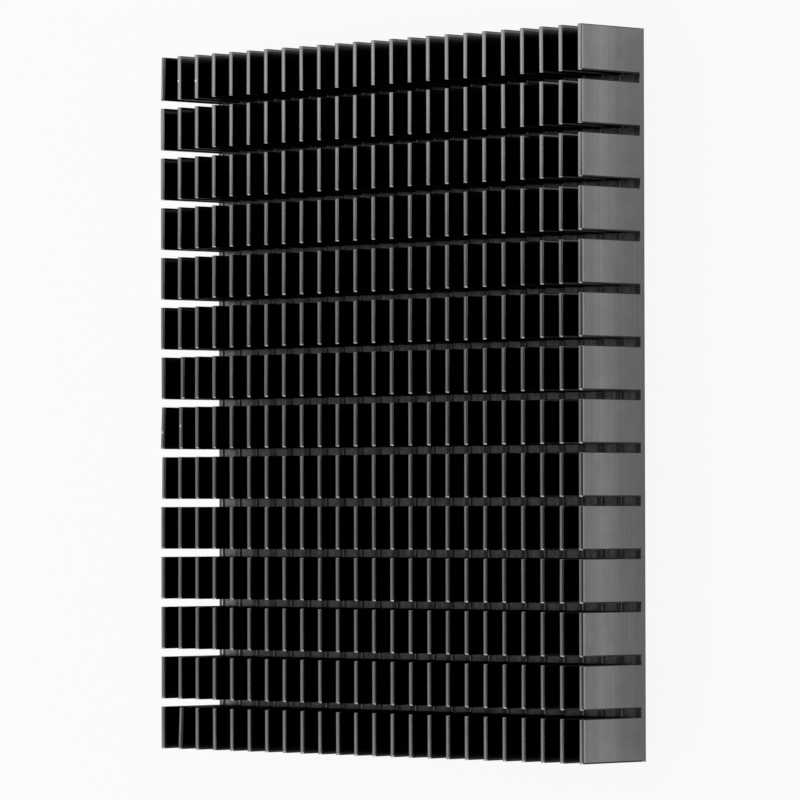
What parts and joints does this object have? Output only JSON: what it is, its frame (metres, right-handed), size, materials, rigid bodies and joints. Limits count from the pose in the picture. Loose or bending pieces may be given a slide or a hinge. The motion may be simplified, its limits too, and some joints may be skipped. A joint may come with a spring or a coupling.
{
  "type": "pin fin heat sink",
  "caption": "Rectangular black anodised aluminium heat sink with a thin flat base and tall fins sawn across into rows of pins.",
  "frame": {"origin": "centre of the flat underside of the base, on the plate's nominal middle lines", "axes": "+Z from the base out through the pin tips, +Y along the extrusion (the long side), +X across the fins"},
  "size_m": [0.1003, 0.12, 0.015],
  "materials": {
    "anodised_aluminium": "satin black anodised"
  },
  "bodies": {
    "root": {"heat_sink": "anodised_aluminium"}
  },
  "joints": []
}
